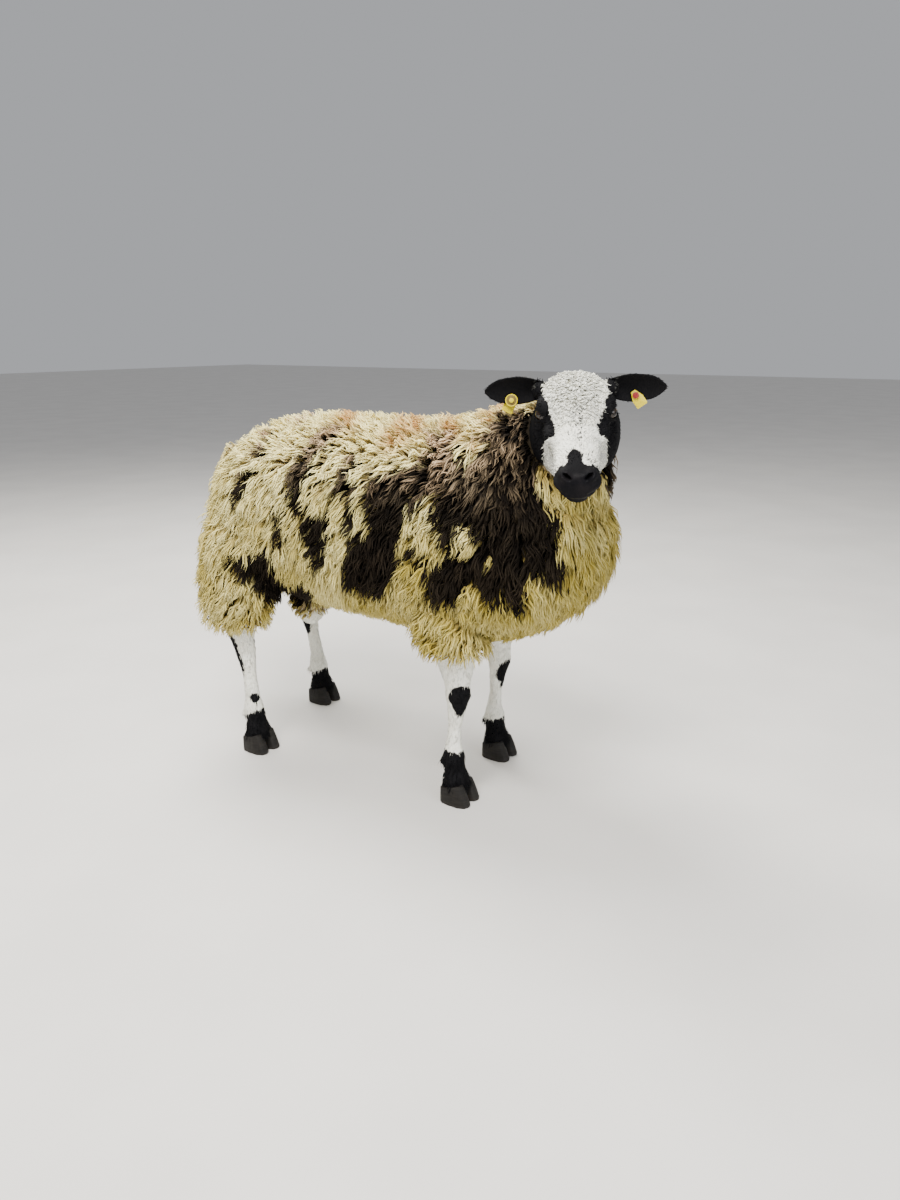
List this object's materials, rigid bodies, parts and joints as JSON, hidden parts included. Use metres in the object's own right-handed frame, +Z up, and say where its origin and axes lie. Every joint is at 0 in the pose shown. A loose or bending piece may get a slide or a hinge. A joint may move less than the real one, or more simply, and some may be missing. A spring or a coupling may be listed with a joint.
{
  "type": "dutch spotted ram lamb",
  "caption": "Still life-size dutch spotted ram lamb standing on four feet, head turned to its right, full spotted fleece, ear tags.",
  "frame": {"origin": "on the floor, below the middle of the whole model's bounding box", "axes": "+Z up, the body faces -Y, its right side is -X and its left side is +X; the head is turned towards -X"},
  "size_m": [0.4702, 1.1058, 0.8607],
  "materials": {
    "fleece": "long wavy cream wool in pointed locks with dark brown to black spots and reddish-brown bleached tips",
    "face_hair": "short flat hair, white blaze with dark speckles, black cheeks, eye patches and muzzle",
    "leg_hair": "short flat white hair with black patches at knees, hocks and feet",
    "ear_skin": "black skin with short soft black hair",
    "eye": "wet dark brown eye with a level slit pupil",
    "hoof": "dull grey-brown horn with fine growth rings",
    "ear_tag": "yellow soft plastic, plain, lightly scuffed"
  },
  "bodies": {
    "root": {"head": "face_hair", "ear_left": "ear_skin", "ear_right": "ear_skin", "ear_tag_left": "ear_tag", "ear_tag_right": "ear_tag", "eye_left": "eye", "eye_right": "eye", "neck": "fleece", "torso": "fleece", "tail": "fleece", "scrotum": "fleece", "leg_fore_left": "leg_hair", "leg_fore_right": "leg_hair", "leg_hind_left": "leg_hair", "leg_hind_right": "leg_hair", "claw_fore_left_outer": "hoof", "claw_fore_left_inner": "hoof", "claw_fore_right_outer": "hoof", "claw_fore_right_inner": "hoof", "claw_hind_left_outer": "hoof", "claw_hind_left_inner": "hoof", "claw_hind_right_outer": "hoof", "claw_hind_right_inner": "hoof"}
  },
  "joints": []
}
